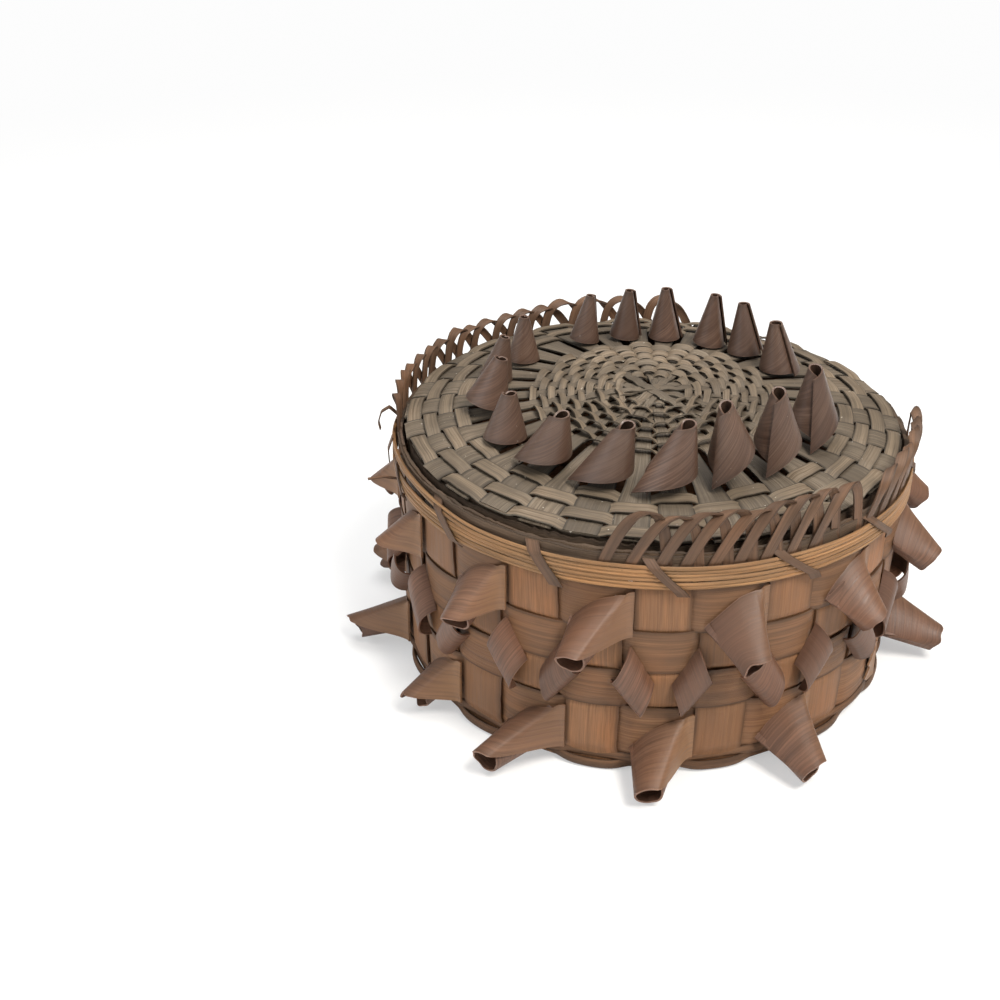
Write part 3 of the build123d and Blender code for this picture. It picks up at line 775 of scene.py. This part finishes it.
class BASKET_OT_curls(bpy.types.Operator):
    """Strips rolled or bent and tucked into the wall, in three tiers"""

    bl_idname = "basket.curls"
    bl_label = "Wall Curls"

    def torn_stub(self, tier, azimuth, seat, breadth, number):
        """What is left in the slot of a curl that has been torn off."""
        face = wall_radius(seat) + CURL_SEAT
        out, along = level(azimuth), sideways(azimuth)

        def place(u, v):
            torn = 4.5 * (1 - u) * (1 + 0.6 * wander(number, v * 2.2))
            lift = 0.3 + 1.4 * (1 - u) ** 2 * (v + 1) / 2
            return out * (face + lift) + along * (CURL_SLOT - torn) + UP * (seat + 0.4 * breadth * v)

        tier.add(6, 7, 5, breadth, place, 0.4, lambda u: 0.8)

    def rolled_curl(self, tier, rng, azimuth, seat, breadth, stand_off, mouth_row, number):
        """A strip that leaves its slot and rolls into a cone with an open mouth."""
        run, drop, share = mouth_row
        face = wall_radius(seat) + CURL_SEAT
        out, along = level(azimuth), sideways(azimuth)
        root = out * face + along + UP * seat
        mouth = out * (face + stand_off * share) + along * run + UP * (seat - drop)
        tip = (mouth - root).normalized()
        top = (UP - tip * tip.dot(UP)).normalized()
        right = towards(along, tip.cross(top))
        turn = radians(rng.uniform(30, 44))
        side, heading = top * cos(turn) + right * sin(turn), right * cos(turn) - top * sin(turn)
        foot = out * face + along * CURL_SLOT + UP * seat
        slot = (foot - UP * (0.47 * breadth), foot + UP * (0.47 * breadth))
        form = (mouth, tip, side, heading, CURL_NEAR, breadth)
        lead = heading * cos(radians(18)) - tip * sin(radians(18))
        ragged = 2.2 if share < 1 and seat < 20 else rng.choice((0.2, 0.3, 0.9))

        def seated(edges):
            """The line between these edges, run on to the wall."""
            near, far = edges
            fall = (near - far).dot(out)
            stretch = (near.dot(out) - face) / fall if fall > 0.1 else 1
            far = near.lerp(far, min(1.5, max(0.6, stretch)))
            left = CURL_SLOT - far.dot(along)
            far.z = min(far.z, slot[1].z - 0.3 * left - 0.055 * max(0, left - 6) ** 2)
            return near, far

        def place(u, v):
            psi = CURL_WRAP * (1 - min(1, u / ROLLED_SHARE))
            narrow = CURL_HALF_ANGLE * (1 - 0.24 * ease(225, CURL_WRAP, psi))
            near, far = seated(cone_edges(*form, narrow, CURL_SKEW, CURL_SQUARE, psi))
            if u > ROLLED_SHARE:
                t = (u - ROLLED_SHARE) / (1 - ROLLED_SHARE)
                near = run_off(near, lead, slot[0], along, 9, t)
                far = run_off(far, along, slot[1], along, 7, t)
            for edge in (near, far):
                edge += out * max(0, face - edge.dot(out))
            near += tip * (ragged * wander(number + 40, u * 13) * ease(0.7, 0.5, u))
            bend = 0.3 * wander(number, u * 7, v * 0.7)
            return near.lerp(far, (v + 1) / 2) + out * (bend * ease(1, 0.8, u))

        rubbed = rng.uniform(0.5, 1)
        tier.add(72, 7, 56, breadth, place, rng.random(), lambda u: rubbed * ease(0.4, 0.92, u))

    def big_tier(self, node, first, seat, stand_off, mouths, seed):
        """Large curls over every second upright."""
        rng = random.Random(seed)
        breadth = sizes().curl_breadth / MM
        tier = Strips()
        for j, row in enumerate(mouths):
            azimuth = FIRST_STAKE + (first + 2 * j) * (360 / sizes().stake_count)
            if any(row):
                self.rolled_curl(tier, rng, azimuth, seat, breadth, stand_off, row, seed + j)
            else:
                self.torn_stub(tier, azimuth, seat, breadth, seed + j)
        tier.finish(f"{node}_look", 0.5, curl_wood(), "basket", [node])

    def leaves(self):
        """Small bent leaves between the uprights, leaning to either side in turn."""
        count = sizes().stake_count
        rng = random.Random(71)
        tier = Strips()
        for k in range(count):
            azimuth = FIRST_STAKE + (k + 0.5) * 360 / count
            lean = -1 if k % 2 == 0 else 1
            big, rise, drop = rng.uniform(1.0, 1.1), rng.uniform(3.6, 4.8), rng.uniform(-0.8, 0.8)
            twist = rng.uniform(-0.7, 0.7)
            seed = 300 + k

            def place(u, v):
                high = [mix(a, b, u) for a, b in zip(*LEAF_UPPER)]
                low = [mix(a, b, u) for a, b in zip(*LEAF_LOWER)]
                t, z = (mix(a, b, (v + 1) / 2) * big for a, b in zip(low, high))
                t += 0.9 * (lean + 1)
                arch = (1 - abs(2 * u - 1) ** 2.6) ** 0.6
                stand_off = 0.9 + rise * arch * (1 + 0.12 * v * twist) + 0.25 * wander(seed, u * 2, v)
                radius = wall_radius(30) + stand_off
                return at(azimuth + lean * t / radius * 180 / pi, radius, LEAF_MIDDLE + z + drop)

            tier.add(26, 6, 17, 11, place, rng.random())
        tier.finish("curls_middle_look", 0.45, curl_wood(), "basket", ["curls_middle"])

    def execute(self, context):
        self.big_tier("curls_top", 1, 49.5, 13.2, TOP_MOUTHS, 61)
        self.big_tier("curls_bottom", 0, 12.3, 15.8, BOTTOM_MOUTHS, 67)
        self.leaves()
        return {"FINISHED"}


class BASKET_OT_rim(bpy.types.Operator):
    """Pale hoop, dark hoop and the lashings over them"""

    bl_idname = "basket.rim"
    bl_label = "Rim"

    def hoop(self, rng, hoop_radius):
        """Three pale strands, each split in two; the upper one parts from the rest at the left."""
        for i in range(3):
            strand = Strips()
            for part in (0, 1):

                def place(u, v):
                    azimuth = 60 + 100 * i + 50 * part + u * 366
                    z = HOOP_BOTTOM + i * HOOP_PITCH + part * HOOP_PITCH / 2 + 0.6 * v
                    z += 0.4 * wander(80 + 2 * i + part, azimuth * 0.035)
                    z += 1.9 * ease(34, 8, abs((azimuth - 15) % 360 - 180)) if i == 2 else 0
                    radius = hoop_radius + 0.32 * sqrt(max(0, 1 - v * v))
                    radius += 0.35 * wander(84 + 3 * i + part, azimuth * 0.05)
                    return at(azimuth, radius, z)

                strand.add(300, 4, 445, 1.5, place, rng.random() * 0.7)
            strand.finish(f"hoop_{i + 1}", 0.8, hoop_wood(), "basket", [f"rim_strand_{i + 1}"])

    def inner_hoop(self, rng):
        """A dark band with a ragged top, and two rough strands outside it. The band also gets the darkest
        tone as painted shade under the lid's edge.
        """
        inner = Strips()

        def place(u, v):
            azimuth = u * 363
            ragged = ease(0.4, 1, v) * (0.9 * wander(90, azimuth * 0.5) + 0.6 * wander(91, azimuth * 1.9))
            z = min(INNER_TOP, INNER_MIDDLE + INNER_HALF * v + ragged)
            return at(azimuth, INNER_RADIUS + 0.25 * wander(92, azimuth * 0.3, v), z)

        # Tone 1.0, the darkest, is painted shade: it darkens the band for the shadow under the lid's edge.
        inner.add(420, 6, 418, 2 * INNER_HALF, place, 1.0)
        for turn, radius, height, half in ((0, 69.3, 64.6, 1.5), (1, 68.7, 65.6, 0.9)):

            def place(u, v):
                azimuth = 140 * turn + u * 365
                ragged = 0.5 * wander(94 + turn, azimuth * 0.09)
                ragged += 0.35 * v * wander(97 + turn, azimuth * 0.8)
                out = radius + 0.3 * wander(101 + turn, azimuth * 0.2, v)
                return at(azimuth, out, height + half * v + ragged)

            inner.add(420, 3, 430, 2 * half, place, rng.random())
        inner.finish("inner_hoop_look", 0.8, dark_wood(), "basket", ["inner_hoop"])

    def lashings(self, rng, hoop_radius):
        """Strips tied aslant over the hoop, and loose splinters."""
        strips = Strips()
        for j in range(LASHINGS):
            azimuth = FIRST_LASHING + j * 360 / LASHINGS + rng.uniform(-2.2, 2.2)
            out, along = level(azimuth), sideways(azimuth)
            slant, tail = rng.uniform(4.0, 8.0), rng.uniform(-0.6, 1.6)
            spots = (
                (68.0, 66.2, -0.75),
                (69.6, 65.4, -0.5),
                (hoop_radius + 0.75, 63.4, -0.2),
                (hoop_radius + 0.95, 60.5, 0.3),
                (hoop_radius + 0.8, 57.3, 0.9),
                (hoop_radius - 0.2, 56.4 - tail, 1.1),
            )
            path = [out * r + UP * z + along * (share * slant) for r, z, share in spots]
            half = rng.uniform(1.4, 1.9)
            strips.add(
                18, 3, 13, 2 * half, lambda u, v: along_path(path, u) + along * (v * half), rng.random()
            )
        for azimuth, half, spots in SPLINTERS:
            path = [at(azimuth, r, z) for r, z in spots]
            along = sideways(azimuth)
            strips.add(14, 2, 10, 2 * half, lambda u, v: along_path(path, u) + along * (v * half), 0.3)
        strips.finish("lashings_look", 0.35, border_wood(), "basket", ["lashings"])

    def execute(self, context):
        rng = random.Random(17)
        hoop_radius = sizes().hoop_radius / MM
        self.hoop(rng, hoop_radius)
        self.inner_hoop(rng)
        self.lashings(rng, hoop_radius)
        return {"FINISHED"}


class BASKET_OT_loops(bpy.types.Operator):
    """Runs of slanting loops along the rim"""

    bl_idname = "basket.loops"
    bl_label = "Border Loops"

    def execute(self, context):
        height, breadth = sizes().loop_height / MM, sizes().loop_breadth / MM
        for name, first, count, seed, height_share, breadth_share in LOOP_RUNS:
            rng = random.Random(seed)
            run = Strips()
            spots = [first + j * LOOP_PITCH for j in range(count)]
            if name == "left":
                spots += [first + step for step in STRETCHED_LOOPS]
            for spot in spots:
                azimuth = spot + rng.uniform(-0.25, 0.25)
                out, along = level(azimuth), sideways(azimuth)
                tall = height * rng.uniform(0.92, 1.04) * height_share / COURSE_HEIGHT
                slant = (COURSE_SLANT + rng.uniform(-0.8, 0.8)) / COURSE_SLANT
                points = [
                    out * r + along * (t * slant) + UP * (LOOP_FOOT + z * tall) for r, t, z in LOOP_COURSE
                ]
                half = breadth / 2 * rng.uniform(0.82, 1.0) * breadth_share

                def place(u, v):
                    before = along_path(points, max(0, u - 0.05))
                    after = along_path(points, min(1, u + 0.05))
                    here = (before + along_path(points, u) * 2 + after) / 4
                    turn = pi * ease(0.22, 0.78, u)
                    face = out * cos(turn) + UP * sin(turn)
                    wide = towards(along, (after - before).cross(face).normalized())
                    return here + wide * (v * half) + face * (0.12 * (1 - v * v))

                run.add(34, 3, 40, 2 * half, place, rng.random())
            nodes = [f"loops_{name}"]
            run.finish(f"loops_{name}_look", 0.4, border_wood(), "basket", nodes)
        return {"FINISHED"}


def spoke_breadth(radius):
    """Breadth of a lid splint at this distance from the axis: a fan that is narrower on the bare ring."""
    bare = ease(26, 36, radius) * ease(60, 46, radius)
    return max(2.7, min(9.0, 2 * radius * SPOKE_FAN - 0.9 - 1.2 * bare))


class BASKET_OT_lid_splints(bpy.types.Operator):
    """Splints that cross at the lid's centre and run to its edge"""

    bl_idname = "basket.lid_splints"
    bl_label = "Lid Splints"

    def execute(self, context):
        rng = random.Random(23)
        count = SPOKES // 2
        reach = sizes().lid_radius / MM
        levels = rng.sample(range(count), count)
        for i in range(count):
            azimuth = FIRST_SPOKE + i * 360 / SPOKES
            lift = (levels[i] - (count - 1) / 2) * 0.13
            astray = rng.uniform(-1.6, 1.6)
            ends = [reach + rng.uniform(-0.7, 0.5) for _ in range(2)]
            strip = Strips()
            seed = 100 + i

            def place(u, v):
                s = mix(-ends[1], ends[0], u)
                radius = abs(s)
                k = i if s > 0 else i + count
                z = lid_height(radius) + lift * ease(20, 9, radius)
                if radius > EDGE_START:
                    row, share = divmod((radius - EDGE_START) / EDGE_PITCH, 1)
                    z += 0.24 * sin(pi * share) ** 0.5 * (-1 if (k + row) % 2 == 0 else 1)
                elif radius < FINE_END:
                    z += 0.2 * sin(pi * radius / 2.6 + pi * k)
                drift = 0.4 * wander(seed, s * 0.06) + astray * ease(16, 3, radius)
                z += 0.22 * wander(seed + 1, s * 0.09, v)
                half = spoke_breadth(radius) / 2 * (1 + 0.05 * wander(seed + 2, s * 0.1))
                return level(azimuth) * s + sideways(azimuth) * (v * half + drift) + UP * z

            strip.add(120, 4, 134, 8, place, rng.random())
            nodes = [f"lid_splint_{i + 1:02d}"]
            strip.finish(f"spoke_{i + 1:02d}", 0.45, lid_wood(), "lid", nodes)
        return {"FINISHED"}


class BASKET_OT_lid_rounds(bpy.types.Operator):
    """Fine rounds near the lid's centre, broad rounds at its edge, and the flange under it"""

    bl_idname = "basket.lid_rounds"
    bl_label = "Lid Rounds"

    def edge_rounds(self, rng):
        """Broad rounds at the lid's edge."""
        for i in range(EDGE_ROUNDS):
            middle = FIRST_EDGE_ROUND + EDGE_PITCH * i
            phase = FIRST_SPOKE + (i % 2) * 360 / SPOKES
            strip = Strips()

            def place(u, v):
                azimuth = phase + 180 + u * 364
                wave = weave_wave(azimuth, phase, SPOKES, 3.2)
                half = 1.85 + 0.2 * wander(120 + i, azimuth * 0.12)
                radius = middle + v * half + 0.3 * wander(124 + i, azimuth * 0.05)
                z = lid_height(radius) + 0.52 * wave + 0.1 * wander(128 + i, azimuth * 0.3, v)
                return at(azimuth, radius, z + 0.25 * (u - 0.5))

            strip.add(510, 3, 2 * pi * middle, 4.0, place, rng.random() * 0.8)
            nodes = [f"lid_weaver_{i + 1}"]
            strip.finish(f"lid_round_{i + 1}", 0.4, lid_weaver_wood(), "lid", nodes)

    def fine_rounds(self, rng):
        """Narrow rounds near the centre. The innermost pass over about two spokes at a time."""
        fine = Strips()
        for i in range(FINE_ROUNDS):
            middle = FIRST_FINE_ROUND + FINE_PITCH * i
            count, cells = (CENTRE_SPOKES, 14) if middle < 19 else (SPOKES, 12)
            phase = FIRST_SPOKE + (i % 2) * 360 / count

            def place(u, v):
                azimuth = phase + 180 + u * 366
                wave = weave_wave(azimuth, phase, count, 1.3)
                tilt = 0.5 + 0.3 * wander(140 + i, azimuth * 0.08)
                radius = middle + v * 1.1 * cos(tilt) + 0.3 * wander(150 + i, azimuth * 0.07)
                z = lid_height(middle) + 0.3 + 0.85 * wave + v * 0.9 * sin(tilt) * ease(-0.3, 0.6, wave)
                return at(azimuth, radius, z + 0.3 * (u - 0.5))

            fine.add(cells * count, 2, 2 * pi * middle, 2.2, place, rng.random())
        nodes = ["lid_inner_weavers"]
        fine.finish("lid_fine_rounds", 0.35, lid_weaver_wood(), "lid", nodes)

    def flange(self):
        """Band that drops inside the rim."""
        band = Strips()

        def place(u, v):
            return at(40 + u * 363, FLANGE_RADIUS + 0.2 * (u - 0.5), FLANGE_MIDDLE + FLANGE_HALF * v)

        band.add(220, 3, 410, 2 * FLANGE_HALF, place, 0.4)
        band.finish("flange_look", 0.6, dark_wood(), "lid", ["lid_flange"])

    def execute(self, context):
        rng = random.Random(29)
        self.edge_rounds(rng)
        self.fine_rounds(rng)
        self.flange()
        return {"FINISHED"}


class BASKET_OT_quills(bpy.types.Operator):
    """Strips rolled into standing cones in a ring on the lid"""

    bl_idname = "basket.quills"
    bl_label = "Lid Quills"

    def execute(self, context):
        reach = sizes().lid_radius / MM
        rng = random.Random(37)
        ring = Strips()
        for j, (azimuth, ring_share, lean, outward, breadth_share, skew, half_angle) in enumerate(QUILLS):
            out, along = level(azimuth), sideways(azimuth)
            tip = (UP + along * lean + out * outward).normalized()
            front = (out - tip * tip.dot(out)).normalized()
            right = towards(along, front.cross(tip))
            turn = radians(rng.uniform(62, 80))
            side, heading = front * cos(turn) - right * sin(turn), -front * sin(turn) - right * cos(turn)
            radius, breadth = ring_share * reach, breadth_share * reach
            mouth = out * radius + UP * lid_height(radius) + tip * breadth
            cone = (QUILL_NEAR, breadth, QUILL_NARROW * half_angle, skew, QUILL_SQUARE)
            form = (mouth, tip, side, heading, *cone)
            rims = [cone_edges(*form, 20 * i)[1] for i in range(20)]
            drop = min(rim.z - lid_top(hypot(rim.x, rim.y)) for rim in rims) - QUILL_GAP
            number = 200 + j

            def place(u, v):
                near, far = cone_edges(*form, QUILL_WRAP * (1 - u))
                bend = (far - near).cross(tip).normalized() * (0.25 * wander(number, u * 6, v * 0.7))
                return near.lerp(far, (v + 1) / 2) + bend - UP * drop

            ring.add(60, 8, 40, breadth, place, rng.random())
        ring.finish("quills_look", 0.45, quill_wood(), "lid", ["lid_quills"])
        return {"FINISHED"}


class BASKET_OT_stage(bpy.types.Operator):
    """Floor, light and camera"""

    bl_idname = "basket.stage"
    bl_label = "Stage"

    def floor_cloth(self, colour):
        """Pale cloth that looks white to the camera away from the basket, and keeps the shadow near it."""
        material = bpy.data.materials.new("floor_cloth")
        material.use_nodes = True
        nodes, links = material.node_tree.nodes, material.node_tree.links
        shader = nodes["Principled BSDF"]
        shader.inputs["Base Color"].default_value = (*colour, 1)
        shader.inputs["Roughness"].default_value = 0.95
        shader.inputs["Specular IOR Level"].default_value = 0.05
        glow = nodes.new("ShaderNodeEmission")
        glow.inputs["Strength"].default_value = 0.98
        distance = nodes.new("ShaderNodeVectorMath")
        distance.operation = "LENGTH"
        links.new(nodes.new("ShaderNodeTexCoord").outputs["Object"], distance.inputs[0])
        spread = nodes.new("ShaderNodeMapRange")
        for key, amount in (("From Min", 0.12), ("From Max", 0.6), ("To Min", 0.45), ("To Max", 1.0)):
            spread.inputs[key].default_value = amount
        links.new(distance.outputs["Value"], spread.inputs["Value"])
        share = nodes.new("ShaderNodeMath")
        share.operation = "MULTIPLY"
        links.new(nodes.new("ShaderNodeLightPath").outputs["Is Camera Ray"], share.inputs[0])
        links.new(spread.outputs["Result"], share.inputs[1])
        blend = nodes.new("ShaderNodeMixShader")
        for socket, source in zip(blend.inputs, (share, shader, glow)):
            links.new(source.outputs[0], socket)
        links.new(blend.outputs[0], nodes["Material Output"].inputs["Surface"])
        return material

    def studio(self):
        """Soft light all round, behind which the camera sees white."""
        world = bpy.data.worlds.new("studio")
        world.use_nodes = True
        nodes, links = world.node_tree.nodes, world.node_tree.links
        soft = nodes["Background"]
        soft.inputs["Color"].default_value = (1.0, 0.99, 0.98, 1)
        soft.inputs["Strength"].default_value = 0.32
        white = nodes.new("ShaderNodeBackground")
        white.inputs["Color"].default_value = (1, 1, 1, 1)
        white.inputs["Strength"].default_value = 1.0
        blend = nodes.new("ShaderNodeMixShader")
        links.new(nodes.new("ShaderNodeLightPath").outputs["Is Camera Ray"], blend.inputs[0])
        links.new(soft.outputs[0], blend.inputs[1])
        links.new(white.outputs[0], blend.inputs[2])
        links.new(blend.outputs[0], nodes["World Output"].inputs["Surface"])
        return world

    def execute(self, context):
        scene = context.scene
        stage = scene.basket_stage
        grid = bmesh.new()
        bmesh.ops.create_grid(grid, x_segments=1, y_segments=1, size=4)
        data = bpy.data.meshes.new("floor")
        grid.to_mesh(data)
        grid.free()
        data.materials.append(self.floor_cloth(stage.floor))
        floor = bpy.data.objects.new("floor", data)
        scene.collection.objects.link(floor)
        scene.world = self.studio()
        for name, place, width, watts, colour in LAMPS:
            light = bpy.data.lights.new(name, "AREA")
            light.size = width
            light.energy = watts
            light.color = colour
            lamp = bpy.data.objects.new(name, light)
            lamp.location = place
            lamp.rotation_euler = (LAMP_AIM - lamp.location).to_track_quat("-Z", "Y").to_euler()
            scene.collection.objects.link(lamp)
        eye = bpy.data.cameras.new("camera")
        eye.lens = stage.lens
        eye.sensor_width = 36
        eye.clip_start = 0.01
        eye.clip_end = 50
        camera = bpy.data.objects.new("camera", eye)
        camera.location = stage.eye
        turn = Euler((pi / 2 - stage.dip, 0, 0)).to_matrix() @ Euler((0, 0, stage.roll)).to_matrix()
        camera.rotation_euler = turn.to_euler()
        scene.collection.objects.link(camera)
        scene.camera = camera
        scene.view_settings.view_transform = "Standard"
        return {"FINISHED"}


STEPS = (
    BASKET_OT_stakes,
    BASKET_OT_base_rounds,
    BASKET_OT_wall_rounds,
    BASKET_OT_curls,
    BASKET_OT_rim,
    BASKET_OT_loops,
    BASKET_OT_lid_splints,
    BASKET_OT_lid_rounds,
    BASKET_OT_quills,
    BASKET_OT_stage,
)
GROUPS = {"basket_sizes": BasketSizes, "basket_colours": BasketColours, "basket_stage": BasketStage}


class BASKET_PT_panel(bpy.types.Panel):
    """Sizes, colours and the build steps"""

    bl_idname = "BASKET_PT_panel"
    bl_label = "Quill Basket"
    bl_space_type = "VIEW_3D"
    bl_region_type = "UI"
    bl_category = "Basket"

    def draw(self, context):
        for key in GROUPS:
            group = getattr(context.scene, key)
            column = self.layout.column(align=True)
            for setting in group.__annotations__:
                column.prop(group, setting)
        column = self.layout.column(align=True)
        for step in STEPS:
            column.operator(step.bl_idname)


def register():
    """Adds the classes and the scene's settings."""
    for item in (*GROUPS.values(), *STEPS, BASKET_PT_panel):
        bpy.utils.register_class(item)
    for key, group in GROUPS.items():
        setattr(bpy.types.Scene, key, PointerProperty(type=group))


def unregister():
    """Takes the settings and the classes away."""
    for key in GROUPS:
        delattr(bpy.types.Scene, key)
    for item in reversed((*GROUPS.values(), *STEPS, BASKET_PT_panel)):
        bpy.utils.unregister_class(item)


def main():
    """Builds every piece and the stage."""
    register()
    for step in STEPS:
        family, name = step.bl_idname.split(".")
        getattr(getattr(bpy.ops, family), name)()


if __name__ == "__main__":
    main()
